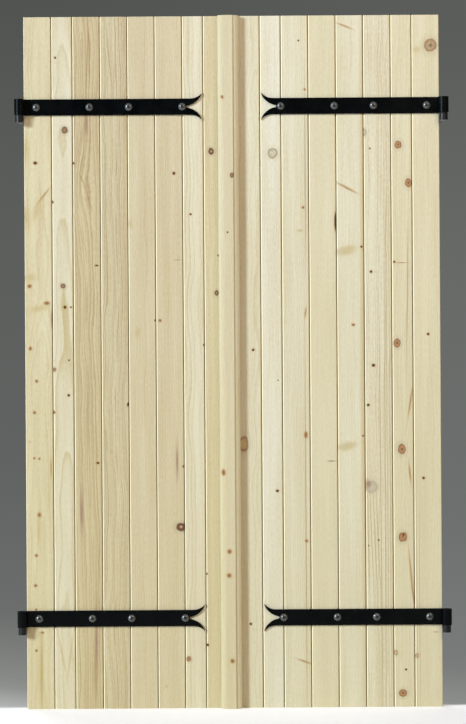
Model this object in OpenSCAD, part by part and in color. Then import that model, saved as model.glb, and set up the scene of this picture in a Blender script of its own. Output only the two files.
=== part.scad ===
// Double-leaf window shutter of tongue-and-groove boards on strap hinges.
// The origin is on the wall face, at the centre of the four pintle shanks.
// X runs along the wall, Y into the wall and Z up. The leaves are closed.

/* [Leaves] */
// Height of a leaf
leaf_h = 1500; // [1000:10:1700]
// Width of a wide board, joint to joint
wide_board_w = 59.5; // [52:0.5:68]
// Width of a narrow board, joint to joint
narrow_board_w = 45.5; // [38:0.5:50]
// Thickness of the boards
board_t = 27; // [25:1:34]
// Gap between the closed leaves
meeting_gap = 4; // [3:0.5:6]
// Chamfer on the outer edges of a leaf
edge_chamfer = 1; // [0.5:0.1:2]

/* [Board joints] */
// Chamfer on each side of a V joint
v_chamfer = 2.6; // [1.5:0.1:3.5]
// Thickness of a tongue
tongue_t = 8; // [6:0.5:9]
// Length of a tongue
tongue_len = 8; // [5:0.5:10]
// Gap between the shoulders of two boards
shoulder_gap = 0.4; // [0.2:0.1:0.8]
// Gap around a tongue in its groove
tongue_play = 0.15; // [0.1:0.05:0.25]

/* [Strap hinges] */
// Width of the flat bar
strap_w = 35; // [30:1:42]
// Thickness of the flat bar
strap_t = 4; // [3:0.5:6]
// Distance of a strap's centreline from the nearer end of the leaf
strap_inset = 196; // [150:1:240]
// Share of the leaf's width that a strap crosses
strap_reach_share = 0.862; // [0.8:0.002:0.9]
// Distance of the eye's axis outside the leaf's edge
eye_offset = 9; // [9:0.5:14]
// Gap left between the end of the rolled eye and the bar
roll_gap = 1; // [0.5:0.1:2]
// Start of a counter-strap, from the leaf's hinge edge
counter_strap_start = 8; // [4:1:12]

/* [Fishtail] */
// Length of the flare along a tail's outer edge
flare_len = 25.4; // [20:0.2:30]
// Rise of a tail's point above the bar's edge
flare_rise = 11.6; // [8:0.2:14]
// Length of the fork along a tail's inner edge
fork_len = 38.2; // [33:0.2:42]
// Width of the fork where its inner edges start
fork_root_w = 3.6; // [2.4:0.2:5]
// Diameter of the round at the bottom of the fork
fork_round_d = 5.4; // [5:0.2:7]
// Distance of the bottom of the fork from the tails' points
fork_depth = 33.6; // [30:0.2:35]

/* [Bolts] */
// Diameter of the bolts
bolt_d = 6; // [5:1:8]
// Diameter of the cup heads
head_d = 16; // [13:0.5:18]
// Height of the cup heads
head_h = 3.8; // [2.5:0.1:5]
// Distance of the first bolt from the eye's axis
first_bolt = 36; // [32:1:44]
// Distance of the last bolt from the tails' points
last_bolt_back = 43; // [43:1:50]
// Width of the hexagon nuts across their flats
nut_w = 10; // [10:0.5:13]
// Thickness of the hexagon nuts
nut_t = 5; // [4:0.5:7]
// Length of bolt that stands out of a nut
bolt_end = 2.5; // [1:0.5:6]

/* [Cover strip] */
// Width of the cover strip
strip_w = 44; // [40:0.5:50]
// Thickness of the cover strip
strip_t = 18; // [16:0.5:22]
// Width of the lap over the other leaf
strip_lap = 13; // [11:0.5:16]
// Width of the rounded moulding along each front edge
moulding_w = 12; // [9:0.5:14]
// Radius of the moulding's round
moulding_r = 22.5; // [18:0.5:40]
// Height of the step beside the moulding
moulding_step = 1.8; // [1:0.1:3]
// Gap between the lap and the other leaf's face
lap_relief = 0.5; // [0.4:0.1:1.5]
// Diameter of the strip's screws
screw_d = 4.5; // [4:0.5:5]
// Depth that the screws reach into the strip
screw_bite = 11; // [8:0.5:12]

/* [Tie rods] */
// Diameter of the tie rods
rod_d = 8; // [6:1:8]
// Width of the rod nuts across their flats
rod_nut_w = 13; // [12:0.5:14]
// Thickness of the rod nuts
rod_nut_t = 6.5; // [5:0.5:8]
// Diameter of the rod washers
rod_washer_d = 18; // [16:0.5:18]
// Thickness of the rod washers
rod_washer_t = 1.6; // [1:0.2:2.4]
// Depth of the sinkings in the leaf's edges
rod_sink = 13; // [11:0.5:18]

/* [Pintles] */
// Diameter of the upright pin
pin_d = 14; // [12:1:16]
// Diameter of the body under the eye
pintle_body_d = 18; // [17:0.5:21]
// Height of the body under the eye
pintle_body_h = 16; // [15:0.5:24]
// Diameter of the shank in the wall
shank_d = 12; // [10:0.5:13]
// Length of the shank in the wall
shank_len = 58; // [40:1:90]
// Distance from the back of the leaf to the wall face
wall_gap = 5; // [3:0.5:12]

/* [Hidden] */
$fn = 96;
hex = 6;
sides = ["left", "right"];
rows = ["upper", "lower"];
board_kinds = ["wide", "narrow", "wide", "wide", "wide", "wide", "narrow", "wide"];
wood = [0.86, 0.78, 0.6];
strip_wood = [0.88, 0.8, 0.62];
black = [0.06, 0.06, 0.07];
zinc = [0.7, 0.71, 0.72];

// Clearances
through = 1;
pin_play = 0.05;
bolt_hole_play = 0.6;
neck_play = 0.3;
thread_play = 0.1;
rod_hole_play = 0.9;
sink_play = 2;
screw_play = 0.2;
neck_edge_gap = 2;

// Boards, counted from the hinge edge
board_count = len(board_kinds);
function board_w(i) = board_kinds[i] == "wide" ? wide_board_w : narrow_board_w;
function board_start(i) = i == 0 ? 0 : board_start(i - 1) + board_w(i - 1);
leaf_w = board_start(board_count);
groove_t = tongue_t + 2 * tongue_play;
groove_len = tongue_len + 2 * tongue_play + shoulder_gap;

// Straps, measured along the bar from the eye's axis
eye_bore_r = pin_d / 2 + pin_play;
eye_r = eye_bore_r + strap_t;
strap_len = eye_offset + leaf_w * strap_reach_share;
strap_z = leaf_h / 2 - strap_inset;
flare_start = strap_len - flare_len;
tail_v = strap_w / 2 + flare_rise;
flare_r = (pow(flare_len, 2) + pow(flare_rise, 2)) / (2 * flare_rise);
fork_rise = tail_v - fork_root_w / 2;
fork_r = (pow(fork_len, 2) + pow(fork_rise, 2)) / (2 * fork_rise);
fork_start = strap_len - fork_len;

// Bolts
middle_bolt_shares = [0.364, 0.633];
last_bolt = strap_len - last_bolt_back;
bolt_run = last_bolt - first_bolt;
bolt_places = [
    first_bolt,
    for (share = middle_bolt_shares) first_bolt + bolt_run * share,
    last_bolt
];
bolt_hole_d = bolt_d + bolt_hole_play;
bolt_len = 2 * strap_t + board_t + nut_t + bolt_end;
head_sphere_r = (pow(head_d / 2, 2) + pow(head_h, 2)) / (2 * head_h);
nut_chamfer_share = 0.12;
end_chamfer_share = 0.1;

// Cover strip, measured from the left leaf's hinge edge
strip_end = leaf_w + meeting_gap + strip_lap;
strip_start = strip_end - strip_w;
screw_x = (strip_start + leaf_w) / 2;
screw_height_shares = [-0.84, -0.504, -0.168, 0.168, 0.504, 0.84];
screw_head_d = 2 * screw_d;
screw_head_h = screw_d / 2;
screw_slot_w = screw_d / 4;
screw_slot_len = screw_d;
screw_slot_depth_share = 0.6;
screw_slot_depth = screw_slot_depth_share * screw_head_h;

// Tie rods
rod_height_shares = [-0.899, -0.287, 0.287, 0.899];
rod_hole_d = rod_d + rod_hole_play;
rod_sink_d = rod_washer_d + sink_play;
rod_end_share = 0.3;
rod_end_sink = rod_sink - rod_washer_t - rod_nut_t - rod_end_share * rod_d;

// Pintles
pin_short = strap_t / 2;
neck_d = min(pin_d, 2 * (eye_offset - neck_edge_gap));

// Places in the shared frame
leaf_edge_x = leaf_w + meeting_gap / 2;
front_y = -board_t - wall_gap;
leaf_mid_z = (strap_w + pintle_body_h) / 2;

function row_sign(row) = row == "upper" ? 1 : -1;

// Leaf frame: X from the hinge edge, Y from the front face to the back, Z from mid-height
module in_leaf(side) {
    mirror([side == "right" ? 1 : 0, 0, 0])
        translate([-leaf_edge_x, front_y, leaf_mid_z])
            children();
}

// Strap frame: as the leaf frame, from the eye's axis and the strap's centreline
module in_strap(side, row) {
    in_leaf(side)
        translate([-eye_offset, 0, row_sign(row) * strap_z])
            children();
}

// Round bar or drill along Y
module round_y(d, from, to) {
    translate([0, from, 0])
        rotate([-90, 0, 0])
            cylinder(d = d, h = to - from);
}

// Round bar or drill along X
module round_x(d, from, to) {
    translate([from, 0, 0])
        rotate([0, 90, 0])
            cylinder(d = d, h = to - from);
}

// Places of the tie rods and of the cover strip's screws
module at_rods() {
    for (share = rod_height_shares)
        translate([0, board_t / 2, share * leaf_h / 2])
            children();
}

module at_screws() {
    for (share = screw_height_shares)
        translate([screw_x, 0, share * leaf_h / 2])
            children();
}

// Section of one board, with its groove towards the hinge edge and its tongue towards the meeting edge
module board_section(i) {
    first = i == 0;
    last = i == board_count - 1;
    from = board_start(i) + (first ? 0 : shoulder_gap / 2);
    to = board_start(i) + board_w(i) - (last ? 0 : shoulder_gap / 2);
    chamfer_from = first ? edge_chamfer : v_chamfer;
    chamfer_to = last ? edge_chamfer : v_chamfer;
    difference() {
        polygon([
            [from + chamfer_from, 0],
            [to - chamfer_to, 0],
            [to, chamfer_to],
            [to, board_t - chamfer_to],
            [to - chamfer_to, board_t],
            [from + chamfer_from, board_t],
            [from, board_t - chamfer_from],
            [from, chamfer_from]
        ]);
        if (!first)
            translate([from - through, (board_t - groove_t) / 2])
                square([through + groove_len, groove_t]);
    }
    if (!last)
        translate([to - tongue_len, (board_t - tongue_t) / 2])
            square([2 * tongue_len, tongue_t]);
}

function crosses_board(i, x, d) =
    x > board_start(i) - d && x < board_start(i) + board_w(i) + tongue_len + d;

module board_bolt_holes(i) {
    for (row = rows)
        for (place = bolt_places)
            if (crosses_board(i, place - eye_offset, bolt_hole_d))
                translate([place - eye_offset, 0, row_sign(row) * strap_z])
                    round_y(bolt_hole_d, -through, board_t + through);
}

module board_rod_holes(i) {
    at_rods() {
        round_x(rod_hole_d, board_start(i) - through, board_start(i) + board_w(i) + tongue_len + through);
        if (i == 0)
            round_x(rod_sink_d, -through, rod_sink);
        if (i == board_count - 1)
            round_x(rod_sink_d, leaf_w - rod_sink, leaf_w + through);
    }
}

module board(side, i) {
    color(wood)
        in_leaf(side)
            difference() {
                translate([0, 0, -leaf_h / 2])
                    linear_extrude(leaf_h)
                        board_section(i);
                board_bolt_holes(i);
                board_rod_holes(i);
                if (side == "left" && i == board_count - 1)
                    at_screws()
                        screw_shape(screw_play);
            }
}

// One curved tail above the bar's centreline, between the flare's arc and the fork's arc
module tail_outline() {
    intersection() {
        translate([flare_start, 0])
            square([2 * flare_len, 2 * tail_v]);
        difference() {
            translate([fork_start, fork_root_w / 2 + fork_r])
                circle(r = fork_r);
            translate([flare_start, strap_w / 2 + flare_r])
                circle(r = flare_r);
        }
    }
}

// Space of the fork between the two tails
module fork_outline() {
    round_centre = strap_len - fork_depth + fork_round_d / 2;
    translate([round_centre, 0])
        circle(d = fork_round_d);
    difference() {
        translate([round_centre, -strap_w / 2])
            square([fork_depth, strap_w]);
        for (v = [-1, 1])
            translate([fork_start, v * (fork_root_w / 2 + fork_r)])
                circle(r = fork_r);
    }
}

// Flat bar with its fishtail, from a start along the strap, its back on Y zero
module fishtail_bar(start) {
    rotate([90, 0, 0])
        linear_extrude(strap_t) {
            difference() {
                translate([start, -strap_w / 2])
                    square([flare_start - start, strap_w]);
                fork_outline();
            }
            tail_outline();
            mirror([0, 1])
                tail_outline();
        }
}

// Eye rolled from the bar's end, open by a narrow gap where the roll comes back to the bar
module rolled_eye() {
    translate([0, -eye_r, -strap_w / 2])
        linear_extrude(strap_w)
            difference() {
                circle(r = eye_r);
                circle(r = eye_bore_r);
                translate([0, eye_bore_r - roll_gap])
                    square([eye_r, eye_r]);
            }
}

module strap(side, row) {
    neck_hole = bolt_d + neck_play;
    color(black)
        in_strap(side, row)
            difference() {
                union() {
                    rolled_eye();
                    fishtail_bar(0);
                }
                for (place = bolt_places)
                    translate([place, -strap_t / 2, 0])
                        cube([neck_hole, 2 * strap_t, neck_hole], center = true);
            }
}

module counter_strap(side, row) {
    color(black)
        in_strap(side, row)
            difference() {
                translate([0, board_t + strap_t, 0])
                    fishtail_bar(eye_offset + counter_strap_start);
                for (place = bolt_places)
                    translate([place, 0, 0])
                        round_y(bolt_hole_d, board_t - through, board_t + strap_t + through);
            }
}

// Cup-head bolt with a square neck, its head's seat on Y zero
module cup_bolt() {
    intersection() {
        translate([0, head_sphere_r - head_h, 0])
            sphere(r = head_sphere_r);
        translate([-head_d, -2 * head_h, -head_d])
            cube([2 * head_d, 2 * head_h, 2 * head_d]);
    }
    translate([-bolt_d / 2, -head_h / 2, -bolt_d / 2])
        cube([bolt_d, head_h / 2 + strap_t, bolt_d]);
    round_y(bolt_d, 0, bolt_len - end_chamfer_share * bolt_d);
    translate([0, bolt_len - end_chamfer_share * bolt_d, 0])
        rotate([-90, 0, 0])
            cylinder(d1 = bolt_d, d2 = bolt_d * (1 - 2 * end_chamfer_share), h = end_chamfer_share * bolt_d);
}

module bolts(side, row) {
    color(black)
        in_strap(side, row)
            for (place = bolt_places)
                translate([place, -strap_t, 0])
                    cup_bolt();
}

// Hexagon nut along Z with chamfered corners, its seat on Z zero
module hex_nut(width, height, bore_d) {
    corner_d = width / cos(180 / hex);
    chamfer = nut_chamfer_share * height;
    difference() {
        intersection() {
            cylinder(d = corner_d, h = height, $fn = hex);
            union() {
                cylinder(d = 2 * corner_d, h = height - chamfer);
                translate([0, 0, height - chamfer])
                    cylinder(d1 = corner_d, d2 = width, h = chamfer);
            }
        }
        translate([0, 0, -through])
            cylinder(d = bore_d, h = height + 2 * through);
    }
}

module nuts(side, row) {
    color(black)
        in_strap(side, row)
            for (place = bolt_places)
                translate([place, board_t + strap_t, 0])
                    rotate([-90, 0, 0])
                        hex_nut(nut_w, nut_t, bolt_d + thread_play);
}

// Pintle: upright pin in the eye, body under it, neck to the wall and shank in the wall
module pintle(side, row) {
    neck_len = eye_r + board_t + wall_gap;
    pin_len = strap_w - pin_short;
    pin_chamfer = end_chamfer_share * pin_d;
    shank_chamfer = end_chamfer_share * shank_d;
    color(black)
        in_strap(side, row)
            translate([0, -eye_r, -strap_w / 2]) {
                translate([0, 0, -pintle_body_h])
                    cylinder(d = pintle_body_d, h = pintle_body_h);
                cylinder(d = pin_d, h = pin_len - pin_chamfer);
                translate([0, 0, pin_len - pin_chamfer])
                    cylinder(d1 = pin_d, d2 = pin_d - 2 * pin_chamfer, h = pin_chamfer);
                translate([0, 0, -pintle_body_h / 2]) {
                    round_y(neck_d, 0, neck_len);
                    round_y(shank_d, neck_len, neck_len + shank_len - shank_chamfer);
                    translate([0, neck_len + shank_len - shank_chamfer, 0])
                        rotate([-90, 0, 0])
                            cylinder(d1 = shank_d, d2 = shank_d - 2 * shank_chamfer, h = shank_chamfer);
                }
            }
}

// Section of the cover strip, its back on Y zero and its face towards minus Y
module strip_section() {
    mirror([0, 1])
        difference() {
            union() {
                translate([moulding_w, 0])
                    square([strip_w - 2 * moulding_w, strip_t]);
                moulded_edge();
                translate([strip_w, 0])
                    mirror([1, 0])
                        moulded_edge();
            }
            translate([leaf_w - strip_start, -through])
                square([strip_w, through + lap_relief]);
        }
}

// First edge of the strip, a shallow round that starts level at the foot of the step
module moulded_edge() {
    intersection() {
        translate([moulding_w, strip_t - moulding_step - moulding_r])
            circle(r = moulding_r);
        square([strip_w / 2, strip_t]);
    }
}

module cover_strip() {
    color(strip_wood)
        in_leaf("left")
            difference() {
                translate([strip_start, 0, -leaf_h / 2])
                    linear_extrude(leaf_h)
                        strip_section();
                at_screws()
                    screw_shape(screw_play);
            }
}

// Countersunk screw from the back of the board into the strip, grown by a play for its hole
module screw_shape(play) {
    round_y(screw_d + play, -screw_bite - play, board_t);
    translate([0, board_t, 0])
        rotate([90, 0, 0])
            cylinder(d1 = screw_head_d + play, d2 = screw_d + play, h = screw_head_h);
}

module cover_strip_screws() {
    color(zinc)
        in_leaf("left")
            at_screws()
                difference() {
                    screw_shape(0);
                    for (turn = [0, 90])
                        translate([0, board_t, 0])
                            rotate([0, turn, 0])
                                cube([screw_slot_len, 2 * screw_slot_depth, screw_slot_w], center = true);
                }
}

module tie_rods(side) {
    color(zinc)
        in_leaf(side)
            at_rods()
                round_x(rod_d, rod_end_sink, leaf_w - rod_end_sink);
}

// Children at both ends of every rod, facing out of the sinking from its bottom
module at_rod_ends() {
    at_rods() {
        translate([rod_sink, 0, 0])
            rotate([0, -90, 0])
                children();
        translate([leaf_w - rod_sink, 0, 0])
            rotate([0, 90, 0])
                children();
    }
}

module rod_washers(side) {
    color(zinc)
        in_leaf(side)
            at_rod_ends()
                difference() {
                    cylinder(d = rod_washer_d, h = rod_washer_t);
                    translate([0, 0, -through])
                        cylinder(d = rod_hole_d, h = rod_washer_t + 2 * through);
                }
}

module rod_nuts(side) {
    color(zinc)
        in_leaf(side)
            at_rod_ends()
                translate([0, 0, rod_washer_t])
                    hex_nut(rod_nut_w, rod_nut_t, rod_d + thread_play);
}

for (side = sides) {
    for (i = [1:board_count])
        board(side, i - 1);
    for (row = rows) {
        strap(side, row);
        counter_strap(side, row);
        bolts(side, row);
        nuts(side, row);
        pintle(side, row);
    }
    tie_rods(side);
    rod_washers(side);
    rod_nuts(side);
}
cover_strip();
cover_strip_screws();
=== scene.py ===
# Double-leaf window shutter: finishes, stage, light and camera.
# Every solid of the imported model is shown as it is, with a finish of its own.
# Materials work in millimetres of the shared frame: X right, Y into the wall, Z up.

import math
from collections import namedtuple

import bpy
from mathutils import Matrix, Vector

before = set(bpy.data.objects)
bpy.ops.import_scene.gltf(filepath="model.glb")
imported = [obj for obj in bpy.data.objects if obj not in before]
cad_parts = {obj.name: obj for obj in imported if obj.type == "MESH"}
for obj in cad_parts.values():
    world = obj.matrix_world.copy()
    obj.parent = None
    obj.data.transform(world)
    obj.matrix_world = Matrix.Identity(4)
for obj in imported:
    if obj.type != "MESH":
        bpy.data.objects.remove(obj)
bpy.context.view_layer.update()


# Sizes repeated from the part's source, in millimetres, and the names of sides and levels

LEAF_EDGE = 450.0
LEAF_MIDDLE = 25.5
LEAF_HEIGHT = 1500.0
BOARD_FRONT = -32.0
BOARD_DEPTH = 27.0
STRIP_LEFT = -29.0
WIDE = 59.5
NARROW = 45.5
BOARD_WIDTHS = (WIDE, NARROW, WIDE, WIDE, WIDE, WIDE, NARROW, WIDE)
NUT_OUTER_FACE = 4.0
BOLT_PITCH = 1.0
SHANK_START = 12.0
SHANK_PITCH = 1.75
MM_PER_METRE = 1000.0
SIDES = ("left", "right")
LEVELS = ("upper", "lower")


# Helpers for node trees

MIX_SHARE = 0
MIX_FIRST = 6
MIX_SECOND = 7
MIX_RESULT = 2


def srgb(red, green, blue):
    """Linear colour of an 8-bit screen colour."""
    def linear(value):
        share = value / 255
        if share <= 0.04045:
            return share / 12.92
        return ((share + 0.055) / 1.055) ** 2.4
    return (linear(red), linear(green), linear(blue), 1.0)


class Nodes:
    """Adds linked nodes to one node tree. A value may be a socket or a plain number."""

    def __init__(self, tree):
        self.tree = tree

    def feed(self, socket, value):
        if isinstance(value, bpy.types.NodeSocket):
            self.tree.links.new(value, socket)
        else:
            socket.default_value = value

    def add(self, kind, inputs, **settings):
        node = self.tree.nodes.new(kind)
        for name, value in settings.items():
            setattr(node, name, value)
        for name, value in inputs.items():
            self.feed(node.inputs[name], value)
        return node

    def math(self, operation, first, second=0.0, third=0.0):
        inputs = {0: first, 1: second, 2: third}
        return self.add("ShaderNodeMath", inputs, operation=operation).outputs[0]

    def smooth(self, value, start, end, low=0.0, high=1.0):
        """Eases from low to high while value goes from start to end."""
        inputs = {"Value": value, "From Min": start, "From Max": end, "To Min": low, "To Max": high}
        return self.add("ShaderNodeMapRange", inputs, interpolation_type="SMOOTHSTEP").outputs[0]

    def mix(self, share, first, second, clamp=True):
        """Mixes two colours."""
        inputs = {MIX_SHARE: share, MIX_FIRST: first, MIX_SECOND: second}
        node = self.add("ShaderNodeMix", inputs, data_type="RGBA", clamp_factor=clamp)
        return node.outputs[MIX_RESULT]

    def vector(self, x, y, z):
        return self.add("ShaderNodeCombineXYZ", {0: x, 1: y, 2: z}).outputs[0]

    def noise(self, vector, detail=2.0):
        """A smooth random value about 0, with features about one unit of the vector in size."""
        inputs = {"Vector": vector, "Scale": 1.0, "Detail": detail}
        value = self.add("ShaderNodeTexNoise", inputs).outputs[0]
        return self.math("SUBTRACT", value, 0.5)

    def wander(self, value, seed):
        """A smooth random value about 0 that changes along one coordinate."""
        inputs = {"W": self.math("ADD", value, seed), "Scale": 1.0, "Detail": 1.0}
        value = self.add("ShaderNodeTexNoise", inputs, noise_dimensions="1D").outputs[0]
        return self.math("SUBTRACT", value, 0.5)

    def millimetres(self):
        """The object's own coordinates in millimetres, as one socket."""
        place = self.add("ShaderNodeTexCoord", {}).outputs["Object"]
        return self.scale(place, MM_PER_METRE)

    def split(self, vector):
        return self.add("ShaderNodeSeparateXYZ", {0: vector}).outputs

    def scale(self, vector, factor):
        """The vector or colour scaled by one number."""
        inputs = {0: vector, "Scale": factor}
        return self.add("ShaderNodeVectorMath", inputs, operation="SCALE").outputs[0]

    def stretch(self, vector, x, y, z):
        """The vector with each axis scaled by its own number."""
        inputs = {0: vector, 1: (x, y, z)}
        return self.add("ShaderNodeVectorMath", inputs, operation="MULTIPLY").outputs[0]

    def along_board(self, vector, width, length):
        """The vector in units of a feature's width, and of its length along the board."""
        return self.stretch(vector, 1 / width, 1 / width, 1 / length)


def new_group(name, floats, colours, results):
    """An empty node group: its tree, its helper, what it is given and what it makes."""
    tree = bpy.data.node_groups.new(name, "ShaderNodeTree")
    for label in floats:
        tree.interface.new_socket(label, in_out="INPUT", socket_type="NodeSocketFloat")
    for label in colours:
        tree.interface.new_socket(label, in_out="INPUT", socket_type="NodeSocketColor")
    for label, kind in results.items():
        tree.interface.new_socket(label, in_out="OUTPUT", socket_type=kind)
    given = tree.nodes.new("NodeGroupInput").outputs
    made = tree.nodes.new("NodeGroupOutput").inputs
    return tree, Nodes(tree), given, made


def new_material(name):
    """A material with its helper and its surface shader."""
    material = bpy.data.materials.new(name)
    material.use_nodes = True
    shader = material.node_tree.nodes["Principled BSDF"]
    return material, Nodes(material.node_tree), shader


def facing_out(nodes):
    """How far a surface faces straight out of the leaf, forwards or back: 1 if it does, 0 on its sides."""
    normal = nodes.add("ShaderNodeTexCoord", {}).outputs["Normal"]
    return nodes.math("ABSOLUTE", nodes.split(normal)[1])


def finish(node_name, material):
    """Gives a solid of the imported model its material."""
    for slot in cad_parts[node_name].material_slots:
        slot.material = material


# Wood grain: growth rings in depth, so that the faces, edges and ends of a board agree
# Widths, lengths, shake, wave and sway are in millimetres, and unevenness in rings.

FIBRE_WIDTH = 2.0
FIBRE_LENGTH = 120.0
SPECK_WIDTH = 2.2
SPECK_LENGTH = 9.0
FLECK_WIDTH = 0.9
FLECK_LENGTH = 14.0
TONE_WIDTH = 24.0
TONE_LENGTH = 420.0
SHAKE = 4.0
SHAKE_WIDTH = 9.0
SHAKE_LENGTH = 110.0
WAVE = 20.0
WAVE_WIDTH = 45.0
WAVE_LENGTH = 170.0
SWAY = 15.0
SWAY_LENGTH = 260.0
SECOND_SEED = 57.0
FIBRE_SHARE = 0.55
SPECK_SHARE = 1.0
TONE_SHARE = 1.1
FLECK_SHARE = 0.14
PALEST_SHARE = -0.4
FLECK_START = 0.24
FLECK_END = 0.34
UNEVEN = 2.6
UNEVEN_WIDTH = 13.0
LATE_POWER = 2.2
LATE_PEAK = 0.86
LATE_STRENGTH = 0.8
LATE_STRENGTH_WIDTH = 7.0
FIBRE_RELIEF = 0.8
LATE_RELIEF = 0.5
FLECK_RELIEF = -0.3


def make_grain_group():
    """Colour and relief of clear wood at a place in a board."""
    floats = ("Across", "Depth", "Height", "Pith Across", "Pith Depth", "Lean Across", "Lean Depth",
              "Ring Gap", "Contrast", "Seed")
    results = {"Colour": "NodeSocketColor", "Relief": "NodeSocketFloat"}
    tree, nodes, given, made = new_group("wood_grain", floats, ("Early", "Late"), results)
    seed = given["Seed"]
    second_seed = nodes.math("ADD", seed, SECOND_SEED)
    place = nodes.vector(given["Across"], given["Depth"], given["Height"])
    seeded = nodes.vector(nodes.math("MULTIPLY_ADD", seed, SECOND_SEED, given["Across"]),
                          given["Depth"], given["Height"])

    # Distance from the pith, which leans and sways along the board
    metres = nodes.math("DIVIDE", given["Height"], MM_PER_METRE)
    along = nodes.math("DIVIDE", given["Height"], SWAY_LENGTH)
    pith_across = nodes.math("MULTIPLY_ADD", given["Lean Across"], metres, given["Pith Across"])
    pith_across = nodes.math("MULTIPLY_ADD", nodes.wander(along, seed), SWAY, pith_across)
    pith_depth = nodes.math("MULTIPLY_ADD", given["Lean Depth"], metres, given["Pith Depth"])
    pith_depth = nodes.math("MULTIPLY_ADD", nodes.wander(along, second_seed), SWAY, pith_depth)
    wave = nodes.noise(nodes.along_board(seeded, WAVE_WIDTH, WAVE_LENGTH))
    across = nodes.math("SUBTRACT", given["Across"], pith_across)
    across = nodes.math("MULTIPLY_ADD", wave, WAVE, across)
    depth = nodes.math("SUBTRACT", given["Depth"], pith_depth)
    squares = nodes.math("MULTIPLY_ADD", across, across, nodes.math("MULTIPLY", depth, depth))
    radius = nodes.math("SQRT", squares)

    # Rings of uneven width, each with a slow start and a sharp dark end
    shake = nodes.noise(nodes.along_board(seeded, SHAKE_WIDTH, SHAKE_LENGTH))
    uneven = nodes.wander(nodes.math("DIVIDE", radius, UNEVEN_WIDTH), seed)
    rings = nodes.math("DIVIDE", nodes.math("MULTIPLY_ADD", shake, SHAKE, radius), given["Ring Gap"])
    rings = nodes.math("MULTIPLY_ADD", uneven, UNEVEN, rings)
    phase = nodes.math("FRACT", rings)
    late = nodes.math("MULTIPLY", nodes.math("POWER", phase, LATE_POWER), nodes.smooth(phase, 1.0, LATE_PEAK))
    strength = nodes.wander(nodes.math("DIVIDE", radius, LATE_STRENGTH_WIDTH), second_seed)
    late = nodes.math("MULTIPLY", late, nodes.math("ADD", strength, LATE_STRENGTH))

    # Fibres and resin flecks drawn out along the board, and slow changes of tone
    fibre = nodes.noise(nodes.along_board(place, FIBRE_WIDTH, FIBRE_LENGTH))
    speck = nodes.noise(nodes.along_board(seeded, SPECK_WIDTH, SPECK_LENGTH))
    fleck = nodes.noise(nodes.along_board(seeded, FLECK_WIDTH, FLECK_LENGTH), detail=0.0)
    fleck = nodes.smooth(fleck, FLECK_START, FLECK_END)
    tone = nodes.noise(nodes.along_board(seeded, TONE_WIDTH, TONE_LENGTH), detail=3.0)
    share = nodes.math("MULTIPLY", late, given["Contrast"])
    share = nodes.math("MULTIPLY_ADD", fibre, FIBRE_SHARE, share)
    share = nodes.math("MULTIPLY_ADD", speck, SPECK_SHARE, share)
    share = nodes.math("MULTIPLY_ADD", tone, TONE_SHARE, share)
    share = nodes.math("MULTIPLY_ADD", fleck, FLECK_SHARE, share)
    share = nodes.math("MAXIMUM", share, PALEST_SHARE)
    nodes.feed(made["Colour"], nodes.mix(share, given["Early"], given["Late"], clamp=False))
    relief = nodes.math("MULTIPLY", late, LATE_RELIEF)
    relief = nodes.math("MULTIPLY_ADD", fibre, FIBRE_RELIEF, relief)
    nodes.feed(made["Relief"], nodes.math("MULTIPLY_ADD", fleck, FLECK_RELIEF, relief))
    return tree


# Knots and stains
# Distances from a mark's centre are in shares of its half-width and half-height.

MARK_FLOATS = ("Across", "Height", "At Across", "At Height", "Half Width", "Half Height", "Turn")
PUSH_REACH = -0.42
PUSH_STRENGTH = -0.75
HALO_SHARE = 0.16
HALO_REACH = 2.2
MARK_OUTER = 1.05
MARK_INNER = 0.9
MARK_RIM_START = 0.5
MARK_RIM_FULL = 0.95
HEART_EDGE = 0.42
HEART_FULL = 0.12
RAGGED = 0.55
BLOTCH_COUNT = 3.0
BLOTCH_SHARE = 0.5
BLOTCH_END = 0.16


def mark_distance(nodes, given):
    """Offset across from a mark's centre, and the distance from it in half-sizes."""
    across = nodes.math("SUBTRACT", given["Across"], given["At Across"])
    height = nodes.math("SUBTRACT", given["Height"], given["At Height"])
    turn_cos = nodes.math("COSINE", given["Turn"])
    turn_sin = nodes.math("SINE", given["Turn"])
    side = nodes.math("MULTIPLY_ADD", across, turn_cos, nodes.math("MULTIPLY", height, turn_sin))
    along = nodes.math("MULTIPLY", height, turn_cos)
    along = nodes.math("SUBTRACT", along, nodes.math("MULTIPLY", across, turn_sin))
    side = nodes.math("DIVIDE", side, given["Half Width"])
    along = nodes.math("DIVIDE", along, given["Half Height"])
    squares = nodes.math("MULTIPLY_ADD", side, side, nodes.math("MULTIPLY", along, along))
    return across, nodes.math("SQRT", squares)


def make_push_group():
    """Bends the grain round a knot: gives the place across at which the rings are read."""
    tree, nodes, given, made = new_group("grain_push", MARK_FLOATS, (), {"Across": "NodeSocketFloat"})
    across, distance = mark_distance(nodes, given)
    fall = nodes.math("MULTIPLY", nodes.math("MULTIPLY", distance, distance), PUSH_REACH)
    pull = nodes.math("MULTIPLY", across, nodes.math("EXPONENT", fall))
    nodes.feed(made["Across"], nodes.math("MULTIPLY_ADD", pull, PUSH_STRENGTH, given["Across"]))
    return tree


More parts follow.
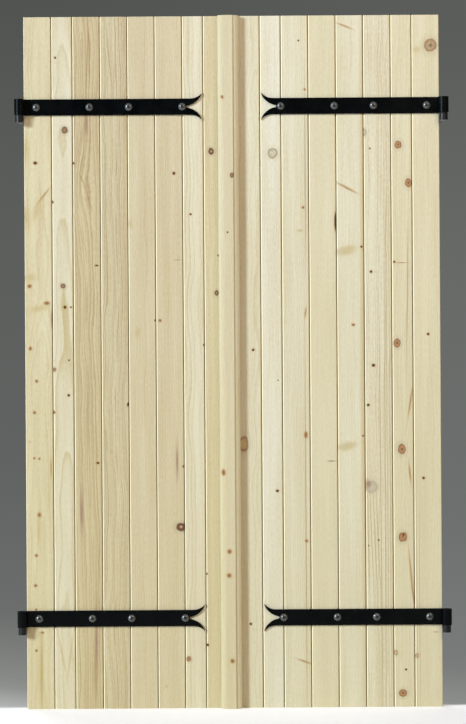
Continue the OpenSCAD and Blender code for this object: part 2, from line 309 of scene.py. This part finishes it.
def make_mark_group():
    """Paints one knot or stain over the wood's colour."""
    floats = MARK_FLOATS + ("Softness", "Strength")
    colours = ("Wood", "Body", "Rim", "Heart")
    tree, nodes, given, made = new_group("wood_mark", floats, colours, {"Colour": "NodeSocketColor"})
    _, distance = mark_distance(nodes, given)
    ragged_place = nodes.vector(
        nodes.math("DIVIDE", given["Across"], given["Half Width"]),
        given["At Height"],
        nodes.math("DIVIDE", given["Height"], given["Half Height"]))
    distance = nodes.math("MULTIPLY_ADD", nodes.noise(ragged_place, detail=3.0), RAGGED, distance)
    outer = nodes.math("ADD", MARK_OUTER, given["Softness"])
    inner = nodes.math("SUBTRACT", MARK_INNER, given["Softness"])
    inside = nodes.math("MULTIPLY", nodes.smooth(distance, outer, inner), given["Strength"])
    halo = nodes.smooth(distance, HALO_REACH, 1.0, 0.0, HALO_SHARE)
    halo = nodes.math("MULTIPLY", halo, given["Strength"])
    face = nodes.mix(nodes.smooth(distance, MARK_RIM_START, MARK_RIM_FULL), given["Body"], given["Rim"])
    face = nodes.mix(nodes.smooth(distance, HEART_EDGE, HEART_FULL), face, given["Heart"])
    blotch = nodes.noise(nodes.stretch(ragged_place, BLOTCH_COUNT, 1.0, BLOTCH_COUNT))
    face = nodes.mix(nodes.smooth(blotch, 0.0, BLOTCH_END, 0.0, BLOTCH_SHARE), face, given["Rim"])
    around = nodes.mix(halo, given["Wood"], given["Rim"])
    nodes.feed(made["Colour"], nodes.mix(inside, around, face))
    return tree


GRAIN = make_grain_group()
PUSH = make_push_group()
MARK = make_mark_group()

# A kind of mark is its three colours, how soft its edge is, how far it covers the wood and whether the
# grain bends round it.
Kind = namedtuple("Kind", "body rim heart softness strength bends")
KINDS = {
    "red": Kind(srgb(186, 138, 94), srgb(136, 88, 48), srgb(116, 82, 54), 0.06, 0.94, True),
    "broad": Kind(srgb(184, 158, 122), srgb(148, 112, 74), srgb(122, 100, 82), 0.06, 0.94, True),
    "cup": Kind(srgb(154, 116, 86), srgb(96, 62, 38), srgb(164, 130, 100), 0.08, 0.96, True),
    "pin": Kind(srgb(156, 104, 54), srgb(180, 136, 82), srgb(100, 60, 24), 0.25, 0.92, True),
    "dark": Kind(srgb(92, 50, 12), srgb(144, 96, 44), srgb(50, 24, 4), 0.15, 1.0, True),
    "grey": Kind(srgb(196, 186, 162), srgb(182, 168, 140), srgb(204, 195, 172), 0.15, 0.85, True),
    "pale": Kind(srgb(206, 196, 172), srgb(152, 130, 94), srgb(214, 205, 183), 0.12, 0.9, True),
    "ring": Kind(srgb(122, 80, 50), srgb(78, 48, 26), srgb(204, 172, 138), 0.12, 0.96, True),
    "stain": Kind(srgb(200, 176, 118), srgb(206, 184, 130), srgb(194, 168, 108), 0.55, 0.5, False),
    "smear": Kind(srgb(202, 184, 136), srgb(206, 190, 146), srgb(198, 178, 128), 0.35, 0.7, False),
    "line": Kind(srgb(170, 122, 58), srgb(182, 138, 76), srgb(158, 106, 44), 0.5, 0.7, False),
    "vein": Kind(srgb(152, 124, 62), srgb(164, 136, 76), srgb(144, 116, 54), 0.6, 0.5, False),
    "purple": Kind(srgb(160, 126, 108), srgb(176, 146, 120), srgb(146, 112, 100), 0.6, 0.75, False),
    "bulge": Kind(srgb(200, 180, 140), srgb(200, 180, 140), srgb(200, 180, 140), 0.5, 0.0, True),
    "patch": Kind(srgb(204, 178, 132), srgb(156, 114, 68), srgb(208, 184, 140), 0.1, 0.9, True),
}


# Boards: tint, grain and marks of each, read off the photograph
# The pith is a place across and in depth, and the lean its drift along a metre of the board. The gap is
# the width of a growth ring.
# A mark is its kind, place across from the board's left edge, height above the middle, width,
# height and turn in degrees. The last two may be left out.

WHITE = srgb(231, 225, 205)
CREAM = srgb(226, 219, 194)
STRAW = srgb(223, 214, 184)
BEIGE = srgb(218, 206, 175)
ALMOND = srgb(215, 201, 170)
TAN = srgb(210, 197, 164)
SAND = srgb(209, 193, 156)
GOLD = srgb(221, 209, 174)
IVORY = srgb(226, 217, 192)
HONEY = srgb(214, 200, 165)
LATE_PALE = srgb(204, 188, 146)
LATE_WARM = srgb(192, 170, 124)
LATE_TAN = srgb(178, 151, 114)
# Towards the bottom of the leaves the wood is mixed to a yellower tint
LOWER_YELLOW = srgb(212, 194, 130)
LOWER_YELLOW_SHARE = 0.22

Board = namedtuple("Board", "tint late contrast pith lean gap marks")

LEFT_BOARDS = (
    Board(GOLD, LATE_WARM, 0.6, (34, 46), (10, 16), 4.2, (
        ("dark", 24, 434, 9, 7), ("line", 41, 362, 4, 44, -38), ("stain", 26, 330, 14, 44, -20),
        ("stain", 4, 316, 14, 50), ("stain", 4, 466, 12, 60), ("stain", 30, 118, 44, 14, 12),
        ("stain", 12, 186, 26, 16), ("pin", 10, 167, 9), ("pin", 47, 130, 13, 8),
        ("line", 57, 96, 3, 34), ("pin", 11, 32, 7, 9),
        ("pin", 24, -39, 7), ("pin", 19, -107, 7), ("pin", 18, -206, 5), ("pin", 29, -207, 5),
        ("line", 54, -228, 3, 40), ("pin", 28, -329, 8, 11), ("stain", 27, -365, 6, 60),
        ("pin", 21, -417, 7), ("pin", 19, -482, 7), ("pin", 20, -534, 5), ("pin", 33, -584, 8, 6),
        ("pin", 20, -623, 6), ("stain", 8, -170, 10, 6), ("vein", 31, -680, 4, 170),
        ("stain", 30, -680, 14, 160))),
    Board(IVORY, LATE_PALE, 1.15, (26, 34), (-4, 26), 7.5, (
        ("stain", 16, -630, 4, 110, 11), ("stain", 34, -636, 4, 100, -8),
        ("dark", 9, 662, 5), ("cup", 29, 505, 13, 15), ("dark", 1, 349, 6), ("cup", 23, 167, 11),
        ("dark", 27, 121, 7), ("dark", 40, 121, 4), ("red", 3, -14, 9), ("dark", 35, 6, 4),
        ("dark", 34, -70, 6), ("pin", 2, -107, 7))),
    Board(SAND, LATE_TAN, 1.3, (-75, 30), (-10, 20), 7.4, (
        ("bulge", 34, 372, 34, 120), ("dark", 2, 433, 5), ("purple", 30, 520, 8, 60),
        ("vein", 25.5, 492, 2.4, 74, -3), ("vein", 19.5, 434, 2.4, 56, -10), ("vein", 19.5, 399, 2.4, 26, 25),
        ("vein", 32, 363, 2, 60, 18),
        ("dark", 51, 211, 8, 4), ("dark", 51, -217, 7, 5), ("purple", 15, -322, 7, 90),
        ("purple", 45, -600, 6, 150), ("vein", 43, -690, 4, 120), ("vein", 33, 660, 2.4, 150, -3))),
    Board(TAN, LATE_TAN, 1.2, (-110, 40), (10, 14), 6.6, (
        ("dark", 57, -91, 4, 9), ("vein", 21, 660, 2.4, 130, 5))),
    Board(ALMOND, LATE_WARM, 0.5, (-60, 30), (8, 12), 3.0, (
        ("dark", 58, 91, 4), ("stain", 20, 65, 12, 26), ("stain", 6, 300, 10, 20))),
    Board(ALMOND, LATE_WARM, 0.65, (130, 12), (6, 8), 3.8, (
        ("dark", 41, 410, 7), ("line", 48, 222, 14, 2), ("pin", 9, 91, 7), ("ring", 51.5, -357, 21, 18),
        ("purple", 44, -215, 6, 70), ("pin", 58, -226, 6), ("stain", 18, -702, 8, 8))),
    Board(IVORY, LATE_PALE, 1.0, (-60, 30), (4, 6), 9.0, (
        ("dark", 17, 321, 5), ("red", 7, -643, 10, 12), ("dark", 44, 37, 4))),
    Board(HONEY, LATE_WARM, 0.8, (-70, 20), (6, 8), 4.4, (
        ("ring", 17, 457, 12, 15), ("dark", 31, 231, 4), ("ring", 27, 150, 9, 12),
        ("dark", 2, -459, 4), ("dark", 3, -613, 6))),
)
RIGHT_BOARDS = (
    Board(STRAW, LATE_PALE, 0.45, (-90, 20), (-6, 10), 4.0, (
        ("broad", 42, 684, 28), ("stain", 12, 675, 16, 14), ("dark", 33, 58, 6), ("dark", 21, -254, 6),
        ("patch", 5, -639, 8, 10), ("line", 46, -588, 12, 2), ("vein", 5, -480, 1.4, 520),
        ("vein", 11, -520, 1.2, 440))),
    Board(STRAW, LATE_PALE, 0.6, (60, 24), (10, 14), 4.6, (
        ("red", 16, 469, 15, 17), ("red", 38, 386, 15, 20), ("dark", 6, 215, 5), ("line", 22, 213, 28, 2),
        ("red", 11, 39, 16, 19), ("red", 20, -191, 17, 22), ("line", 37, -243, 4, 44, 6),
        ("line", 39, -88, 4, 64, -9), ("red", 21, -382, 18, 21), ("dark", 22, -377, 5),
        ("line", 38, -462, 4, 96, 5), ("line", 42, -505, 3, 50, 5), ("patch", 4, -632, 9, 12),
        ("dark", 26, -669, 5), ("red", 19, -720, 17), ("vein", 34, 150, 2.4, 300, -1))),
    Board(CREAM, LATE_WARM, 0.75, (150, 16), (6, 5), 5.6, (
        ("vein", 33, -240, 1.4, 1150, 0.2), ("vein", 43, -280, 1.6, 1150, -0.1),
        ("vein", 48, -250, 1.2, 1200, 0.1), ("vein", 54, -220, 1.4, 1300),
        ("vein", 6, -400, 1.6, 230, 1), ("vein", 13, -390, 1.6, 210, 2),
        ("vein", 20, -385, 1.6, 200, 2), ("vein", 27, -385, 1.6, 220, 2),
        ("dark", 14, 461, 4), ("pale", 1, 496, 11, 15), ("dark", 15, 194, 6), ("dark", 19, -9, 8, 7),
        ("dark", 7, -95, 7, 6), ("grey", 14, -273, 27, 26), ("purple", 6, -266, 13, 17),
        ("dark", 28, -388, 4), ("dark", 6, -400, 3))),
    Board(CREAM, LATE_PALE, 0.35, (-40, 50), (4, 14), 4.0, (
        ("line", 20, 727, 4, 34, 68), ("line", 23, 376, 5, 46, 62), ("stain", 55, 0, 8, 1480),
        ("smear", 20, 240, 46, 20, 12), ("dark", 54, 248, 5), ("pin", 35, 79, 8, 6),
        ("smear", 20, -184, 44, 18, 12), ("dark", 55, -162, 4))),
    Board(STRAW, LATE_PALE, 0.35, (-120, 14), (4, 6), 2.8, (
        ("dark", 57, 303, 4, 44), ("dark", 46, -216, 18, 1.6))),
    Board(CREAM, LATE_PALE, 0.75, (120, 18), (4, 8), 3.8, (
        ("dark", 39, 696, 4), ("pin", 52, 590, 5), ("pin", 47, 334, 6), ("smear", 40, 284, 14, 6),
        ("line", 51, 106, 4, 24, -8), ("vein", 49, -360, 2.4, 760), ("pin", 50, -159, 8, 16),
        ("pin", 50, -389, 7), ("line", 44, -650, 4, 30, 70), ("vein", 52, 430, 2.4, 340))),
    Board(WHITE, LATE_PALE, 0.4, (-100, 20), (4, 8), 3.0, (
        ("pale", 27, 452, 22), ("dark", 33, -280, 7, 6), ("dark", 36, -40, 3))),
    Board(CREAM, LATE_PALE, 0.6, (62, 30), (-14, 16), 4.4, (
        ("dark", 42, 26, 6), ("patch", 20, -178, 22, 34), ("dark", 33, -568, 6))),
)
STRIP = Board(BEIGE, LATE_PALE, 0.6, (80, 40), (6, 8), 4.2, (
    ("pin", 9, 578, 6, 8), ("cup", 29, 409, 8, 11), ("dark", 19, 286, 4), ("pin", 7, -234, 9, 15),
    ("pin", 19, -404, 10), ("pin", 18, -456, 10), ("pin", 24, -641, 10)))

KNOT_LEAN = 0.3
WOOD_ROUGHNESS = 0.62
WOOD_ROUGHNESS_SPREAD = 0.12
WOOD_SPECULAR = 0.25
WOOD_RELIEF = 0.0003
# Near-white on the joint chamfers: partly freshly cut wood, partly a painted highlight of the lit chamfer
FRESH_WOOD_AND_HIGHLIGHT = srgb(255, 245, 208)
FRESH_AND_HIGHLIGHT_SHARE = 0.9
# Painted shade: dark brown over the deep half of each joint chamfer, where the bottom of the V lies in shade
JOINT_PAINTED_SHADE = srgb(80, 44, 6)
JOINT_PAINTED_SHADE_SHARE = 0.92
JOINT_PAINTED_SHADE_START = 1.3
JOINT_PAINTED_SHADE_END = 2.2
FACE_FACING = 0.9
CHAMFER_FACING_MOST = 0.8
CHAMFER_FACING_LEAST = 0.6
SIDE_FACING = 0.5
LEFT_SEED_STEP = 3.7
RIGHT_SEED_STEP = 5.3
RIGHT_SEED_START = 40.0
STRIP_SEED = 88.0


def mark_inputs(across, height, at_across, at_height, width, tall=None, turn=0):
    """What a mark's group is given: the place on the board, then the mark's own place, size and turn."""
    return {
        "Across": across, "Height": height, "At Across": at_across, "At Height": at_height,
        "Half Width": width / 2, "Half Height": (tall or width) / 2, "Turn": math.radians(turn)}


def bend_grain(nodes, board, across, height):
    """The place across at which the grain is read, so that the rings go round the knots."""
    for kind, *sizes in board.marks:
        if KINDS[kind].bends:
            inputs = mark_inputs(across, height, *sizes)
            across = nodes.add("ShaderNodeGroup", inputs, node_tree=PUSH).outputs["Across"]
    return across


def paint_marks(nodes, board, colour, across, height):
    """The wood's colour with every mark of the board painted over it."""
    for kind, *sizes in board.marks:
        look = KINDS[kind]
        inputs = mark_inputs(across, height, *sizes)
        inputs.update({"Softness": look.softness, "Strength": look.strength, "Wood": colour})
        inputs.update({"Body": look.body, "Rim": look.rim, "Heart": look.heart})
        colour = nodes.add("ShaderNodeGroup", inputs, node_tree=MARK).outputs["Colour"]
    return colour


def chamfer_share(nodes):
    """1 on the chamfers of the joints, and 0 on the faces and sides of a board."""
    facing = facing_out(nodes)
    off_face = nodes.smooth(facing, FACE_FACING, CHAMFER_FACING_MOST)
    off_side = nodes.smooth(facing, SIDE_FACING, CHAMFER_FACING_LEAST)
    return nodes.math("MULTIPLY", off_face, off_side)


def wood_material(name, board, left_edge, seed):
    """The finish of one board, whose left edge is at a place along X."""
    material, nodes, shader = new_material("wood_" + name)
    place = nodes.split(nodes.millimetres())
    across = nodes.math("SUBTRACT", place[0], left_edge)
    depth = nodes.math("SUBTRACT", place[1], BOARD_FRONT)
    height = nodes.math("SUBTRACT", place[2], LEAF_MIDDLE)
    knot_height = nodes.math("MULTIPLY_ADD", depth, -KNOT_LEAN, height)
    inputs = {
        "Across": bend_grain(nodes, board, across, knot_height), "Depth": depth, "Height": height,
        "Pith Across": board.pith[0], "Pith Depth": board.pith[1],
        "Lean Across": board.lean[0], "Lean Depth": board.lean[1],
        "Ring Gap": board.gap, "Contrast": board.contrast, "Seed": seed,
        "Early": board.tint, "Late": board.late}
    grain = nodes.add("ShaderNodeGroup", inputs, node_tree=GRAIN).outputs
    # yellower towards the bottom
    towards_bottom = nodes.smooth(height, LEAF_HEIGHT / 2, -LEAF_HEIGHT / 2, 0.0, LOWER_YELLOW_SHARE)
    colour = nodes.mix(towards_bottom, grain["Colour"], LOWER_YELLOW)

    # Chamfers of the joints are painted near-white, partly as freshly cut wood and partly as a painted
    # highlight that whitens the lit side of each joint; marks go over this pale wood, and the deep half of
    # each chamfer is then painted brown as painted shade in the bottom of the V
    chamfer = chamfer_share(nodes)
    # painted highlight: the chamfers are mixed towards near-white fresh wood
    colour = nodes.mix(nodes.math("MULTIPLY", chamfer, FRESH_AND_HIGHLIGHT_SHARE), colour, FRESH_WOOD_AND_HIGHLIGHT)
    colour = paint_marks(nodes, board, colour, across, knot_height)
    deep = nodes.math("MINIMUM", depth, nodes.math("SUBTRACT", BOARD_DEPTH, depth))
    # painted shade: the deep half of each chamfer turns brown
    joint_shade = nodes.smooth(deep, JOINT_PAINTED_SHADE_START, JOINT_PAINTED_SHADE_END, 0.0, JOINT_PAINTED_SHADE_SHARE)
    colour = nodes.mix(nodes.math("MULTIPLY", chamfer, joint_shade), colour, JOINT_PAINTED_SHADE)

    bump = nodes.add("ShaderNodeBump", {"Height": grain["Relief"], "Distance": WOOD_RELIEF})
    nodes.feed(shader.inputs["Base Color"], colour)
    nodes.feed(shader.inputs["Normal"], bump.outputs["Normal"])
    rough = nodes.math("MULTIPLY_ADD", grain["Relief"], WOOD_ROUGHNESS_SPREAD, WOOD_ROUGHNESS)
    nodes.feed(shader.inputs["Roughness"], rough)
    shader.inputs["Specular IOR Level"].default_value = WOOD_SPECULAR
    return material


def finish_boards():
    across = 0.0
    for number, width in enumerate(BOARD_WIDTHS, start=1):
        left = f"left_board_{number}"
        right = f"right_board_{number}"
        left_edge = across - LEAF_EDGE
        right_edge = LEAF_EDGE - across - width
        left_seed = number * LEFT_SEED_STEP
        right_seed = number * RIGHT_SEED_STEP + RIGHT_SEED_START
        finish(left, wood_material(left, LEFT_BOARDS[number - 1], left_edge, left_seed))
        finish(right, wood_material(right, RIGHT_BOARDS[number - 1], right_edge, right_seed))
        across += width
    finish("cover_strip", wood_material("cover_strip", STRIP, STRIP_LEFT, STRIP_SEED))


# Black steel: satin stove paint with a fine orange peel and lighter wear on the edges, and a painted
# reflection ring on the rims of the bolt heads

EDGE_RADIUS = 0.0009
EDGE_SAMPLES = 4
EDGE_START = 0.99
EDGE_FULL = 0.8
WEAR_SCALE = 0.12
WEAR_START = -0.1
WEAR_FULL = 0.25
WEAR_COLOUR = srgb(62, 64, 66)
CLOUD_SCALE = 0.03
CLOUD_START = -0.2
CLOUD_FULL = 0.25
CLOUD_ROUGHNESS = 0.2
PEEL_SCALE = 0.8
PEEL_DEPTH = 0.06
# Painted reflection: the rim of a bolt head is painted a lighter grey, fading in as its face turns away from
# straight out
RIM_START = 0.975
RIM_FULL = 0.90
BOLT_PAINTED_REFLECTION = srgb(84, 86, 86)

Paint = namedtuple("Paint", "dark light roughness specular")
STRAP_PAINT = Paint(srgb(2, 4, 6), srgb(7, 10, 11), 0.27, 0.1)
BOLT_PAINT = Paint(srgb(10, 12, 13), srgb(18, 20, 21), 0.24, 0.8)
PINTLE_PAINT = Paint(srgb(10, 12, 13), srgb(20, 22, 23), 0.4, 0.4)


def edge_wear(nodes, place):
    """A share from 0 to 1 that rises on sharp edges, broken up by noise."""
    rounded = nodes.add("ShaderNodeBevel", {"Radius": EDGE_RADIUS}, samples=EDGE_SAMPLES).outputs[0]
    normal = nodes.add("ShaderNodeNewGeometry", {}).outputs["Normal"]
    inputs = {0: rounded, 1: normal}
    facing = nodes.add("ShaderNodeVectorMath", inputs, operation="DOT_PRODUCT").outputs["Value"]
    broken = nodes.noise(nodes.scale(place, WEAR_SCALE), detail=4.0)
    edge = nodes.smooth(facing, EDGE_START, EDGE_FULL)
    return nodes.math("MULTIPLY", edge, nodes.smooth(broken, WEAR_START, WEAR_FULL))


def thread_relief(nodes, place, start, pitch):
    """Ridges of a screw thread along Y, beyond a start."""
    along = nodes.split(place)[1]
    ridge = nodes.math("PINGPONG", along, pitch / 2)
    return nodes.math("MULTIPLY", ridge, nodes.smooth(along, start, start + pitch))


def black_steel(name, paint, thread=None, rim=None):
    """Painted steel, with a thread from a start at a pitch and a painted reflection ring on the rim where
    they are given.
    """
    material, nodes, shader = new_material(name)
    place = nodes.millimetres()
    cloud = nodes.noise(nodes.scale(place, CLOUD_SCALE), detail=4.0)
    peel = nodes.noise(nodes.scale(place, PEEL_SCALE))
    colour = nodes.mix(nodes.smooth(cloud, CLOUD_START, CLOUD_FULL), paint.dark, paint.light)
    colour = nodes.mix(edge_wear(nodes, place), colour, WEAR_COLOUR)
    # a given rim colour is a painted reflection ring round a bolt head
    if rim:
        colour = nodes.mix(nodes.smooth(facing_out(nodes), RIM_START, RIM_FULL), colour, rim)
    relief = nodes.math("MULTIPLY", peel, PEEL_DEPTH)
    if thread:
        relief = nodes.math("ADD", relief, thread_relief(nodes, place, *thread))
    bump = nodes.add("ShaderNodeBump", {"Height": relief, "Distance": 1 / MM_PER_METRE})
    nodes.feed(shader.inputs["Base Color"], colour)
    nodes.feed(shader.inputs["Normal"], bump.outputs["Normal"])
    rough = nodes.math("MULTIPLY_ADD", cloud, CLOUD_ROUGHNESS, paint.roughness)
    nodes.feed(shader.inputs["Roughness"], rough)
    shader.inputs["Specular IOR Level"].default_value = paint.specular
    return material


def finish_black_steel():
    strap = black_steel("black_strap", STRAP_PAINT)
    # the bolts and nuts get the painted reflection ring
    bolt = black_steel("black_bolt", BOLT_PAINT, (NUT_OUTER_FACE, BOLT_PITCH), BOLT_PAINTED_REFLECTION)
    pintle = black_steel("black_pintle", PINTLE_PAINT, (SHANK_START, SHANK_PITCH))
    for side in SIDES:
        for level in LEVELS:
            finish(f"{side}_{level}_strap", strap)
            finish(f"{side}_{level}_counter_strap", strap)
            finish(f"{side}_{level}_bolts", bolt)
            finish(f"{side}_{level}_nuts", bolt)
            finish(f"{side}_{level}_pintle", pintle)


# Zinc-plated steel of the hidden rods and screws

SPANGLE_SCALE = 0.25
DULL_START = -0.15
DULL_FULL = 0.2
ZINC_BRIGHT = srgb(188, 190, 192)
ZINC_DULL = srgb(158, 160, 160)
ZINC_ROUGHNESS = 0.3
ZINC_ROUGHNESS_SPREAD = 0.2
ZINC_RELIEF = 0.0001


def finish_zinc():
    material, nodes, shader = new_material("zinc_plate")
    place = nodes.millimetres()
    spangle = nodes.noise(nodes.scale(place, SPANGLE_SCALE), detail=3.0)
    dull = nodes.smooth(spangle, DULL_START, DULL_FULL)
    nodes.feed(shader.inputs["Base Color"], nodes.mix(dull, ZINC_BRIGHT, ZINC_DULL))
    rough = nodes.math("MULTIPLY_ADD", dull, ZINC_ROUGHNESS_SPREAD, ZINC_ROUGHNESS)
    nodes.feed(shader.inputs["Roughness"], rough)
    relief = nodes.add("ShaderNodeBump", {"Height": spangle, "Distance": ZINC_RELIEF})
    nodes.feed(shader.inputs["Normal"], relief.outputs["Normal"])
    shader.inputs["Metallic"].default_value = 1.0
    for side in SIDES:
        for piece in ("tie_rods", "rod_washers", "rod_nuts"):
            finish(f"{side}_{piece}", material)
    finish("cover_strip_screws", material)


finish_boards()
finish_black_steel()
finish_zinc()


# Stage: a pale floor that fades out behind the leaves, before a grey studio wall

FLOOR_Z = (LEAF_MIDDLE - LEAF_HEIGHT / 2) / MM_PER_METRE
FLOOR_SIDE = 7.0
FLOOR_NEAR = -9.0
FLOOR_FAR = 0.6
FLOOR_FADE_START = -0.03
FLOOR_FADE_END = 0.02
FLOOR_COLOUR = srgb(240, 241, 240)
FLOOR_MOTTLED = srgb(236, 237, 236)
FLOOR_ROUGHNESS = 0.9
FLOOR_SPECULAR = 0.1
MOTTLE_SCALE = 3.0
MOTTLE_REACH = 0.2
FLOOR_GLOW = 0.335
FLOOR_GLOW_COLOUR = (0.97, 1.0, 1.12, 1.0)


def make_floor():
    corners = [
        (-FLOOR_SIDE, FLOOR_NEAR, FLOOR_Z), (FLOOR_SIDE, FLOOR_NEAR, FLOOR_Z),
        (FLOOR_SIDE, FLOOR_FAR, FLOOR_Z), (-FLOOR_SIDE, FLOOR_FAR, FLOOR_Z)]
    mesh = bpy.data.meshes.new("floor")
    mesh.from_pydata(corners, [], [(0, 1, 2, 3)])
    floor = bpy.data.objects.new("floor", mesh)
    bpy.context.scene.collection.objects.link(floor)
    material, nodes, shader = new_material("studio_floor")
    place = nodes.add("ShaderNodeTexCoord", {}).outputs["Object"]
    mottle = nodes.noise(nodes.scale(place, MOTTLE_SCALE), detail=4.0)
    colour = nodes.mix(nodes.smooth(mottle, -MOTTLE_REACH, MOTTLE_REACH), FLOOR_COLOUR, FLOOR_MOTTLED)
    nodes.feed(shader.inputs["Base Color"], colour)
    shader.inputs["Roughness"].default_value = FLOOR_ROUGHNESS
    shader.inputs["Specular IOR Level"].default_value = FLOOR_SPECULAR
    seen = nodes.add("ShaderNodeLightPath", {}).outputs["Is Camera Ray"]
    glow = nodes.math("MULTIPLY", seen, FLOOR_GLOW)
    shader.inputs["Emission Color"].default_value = FLOOR_GLOW_COLOUR
    nodes.feed(shader.inputs["Emission Strength"], glow)
    clear = nodes.add("ShaderNodeBsdfTransparent", {}).outputs[0]
    fade = nodes.smooth(nodes.split(place)[1], FLOOR_FADE_START, FLOOR_FADE_END)
    inputs = {0: fade, 1: shader.outputs[0], 2: clear}
    surface = nodes.add("ShaderNodeMixShader", inputs).outputs[0]
    nodes.feed(material.node_tree.nodes["Material Output"].inputs["Surface"], surface)
    mesh.materials.append(material)


# Light: a key from the left, a fill from the upper right, one lamp behind and a little from all round
# A lamp's share is how much of full white it gives to the side of the leaves that it lights. Distance and
# size are in metres, and the turn and the rise from straight ahead in degrees. One that doesn't shine
# makes no highlights.
# A stop of the wall is the rise of the direction looked in and the colour there.

Lamp = namedtuple("Lamp", "share distance size turn rise colour shines")
LAMPS = {
    "key": Lamp(0.555, 16.0, 3.4, -52.0, 18.0, (0.835, 1.0, 1.12), True),
    "fill": Lamp(0.18, 4.0, 2.0, 30.0, 35.0, (1.30, 1.0, 0.72), True),
    "back": Lamp(0.60, 5.0, 3.0, 205.0, 14.0, (1.0, 1.0, 1.0), False),
}
WORLD_LIGHT = (0.100, 0.068, 0.044, 1.0)
WALL_STOPS = (
    (-0.30, srgb(238, 239, 238)), (-0.155, srgb(228, 230, 229)), (-0.136, srgb(148, 150, 147)),
    (-0.125, srgb(134, 137, 134)), (-0.108, srgb(114, 117, 115)), (-0.05, srgb(103, 106, 104)),
    (0.06, srgb(97, 99, 97)), (0.14, srgb(86, 88, 85)))
WALL_SIDE = 0.1
WALL_TILT = 0.12
WALL_LEFT_SHARE = 0.87
WALL_RIGHT_SHARE = 1.13
WALL_LOW = -0.5
WALL_HIGH = 0.5


def make_world():
    world = bpy.data.worlds.new("studio")
    bpy.context.scene.world = world
    world.use_nodes = True
    nodes = Nodes(world.node_tree)
    direction = nodes.split(nodes.add("ShaderNodeTexCoord", {}).outputs["Generated"])
    reach = WALL_HIGH - WALL_LOW
    rise = nodes.math("MULTIPLY_ADD", direction[0], WALL_TILT, direction[2])
    share = nodes.math("DIVIDE", nodes.math("SUBTRACT", rise, WALL_LOW), reach)
    ramp = nodes.add("ShaderNodeValToRGB", {0: share})
    stops = ramp.color_ramp.elements
    while len(stops) < len(WALL_STOPS):
        stops.new(0.5)
    for stop, (height, colour) in zip(stops, WALL_STOPS):
        stop.position = (height - WALL_LOW) / reach
        stop.color = colour
    path = nodes.add("ShaderNodeLightPath", {}).outputs
    seen = nodes.math("MAXIMUM", path["Is Camera Ray"], path["Is Glossy Ray"])
    seen = nodes.math("MAXIMUM", seen, path["Is Transmission Ray"])
    side = nodes.smooth(direction[0], -WALL_SIDE, WALL_SIDE, WALL_LEFT_SHARE, WALL_RIGHT_SHARE)
    wall = nodes.scale(ramp.outputs[0], side)
    light = nodes.mix(seen, WORLD_LIGHT, wall)
    nodes.feed(world.node_tree.nodes["Background"].inputs["Color"], light)


def make_lamps():
    for name, lamp in LAMPS.items():
        light = bpy.data.lights.new(name, "AREA")
        light.shape = "SQUARE"
        light.size = lamp.size
        light.color = lamp.colour
        thing = bpy.data.objects.new(name, light)
        bpy.context.scene.collection.objects.link(thing)
        thing.visible_camera = False
        thing.visible_glossy = lamp.shines
        turn = math.radians(lamp.turn)
        rise = math.radians(lamp.rise)
        away = Vector((math.sin(turn) * math.cos(rise), -math.cos(turn) * math.cos(rise), math.sin(rise)))
        # A white face turned to a far area lamp gives back its power over pi and the distance, both squared
        light.energy = math.pi ** 2 * lamp.share * lamp.distance ** 2 / abs(away.y)
        thing.location = Vector((0, 0, LEAF_MIDDLE / MM_PER_METRE)) + away * lamp.distance
        thing.rotation_euler = away.to_track_quat("Z", "Y").to_euler()


# Camera: level with the middle of the leaves and rolled a little, as the photograph was

CAMERA_DISTANCE = 5.5
FRAME_HEIGHT = 1.5695
CAMERA_ROLL = 0.37
SENSOR = 36.0


def make_camera():
    camera = bpy.data.cameras.new("camera")
    camera.sensor_width = SENSOR
    camera.lens = SENSOR * CAMERA_DISTANCE / FRAME_HEIGHT
    thing = bpy.data.objects.new("camera", camera)
    bpy.context.scene.collection.objects.link(thing)
    thing.location = (0.0, BOARD_FRONT / MM_PER_METRE - CAMERA_DISTANCE, LEAF_MIDDLE / MM_PER_METRE)
    level = Matrix.Rotation(math.radians(90.0), 3, "X")
    roll = Matrix.Rotation(math.radians(-CAMERA_ROLL), 3, "Z")
    thing.rotation_euler = (level @ roll).to_euler()
    bpy.context.scene.camera = thing


make_floor()
make_world()
make_lamps()
make_camera()
bpy.context.scene.view_settings.view_transform = "Standard"
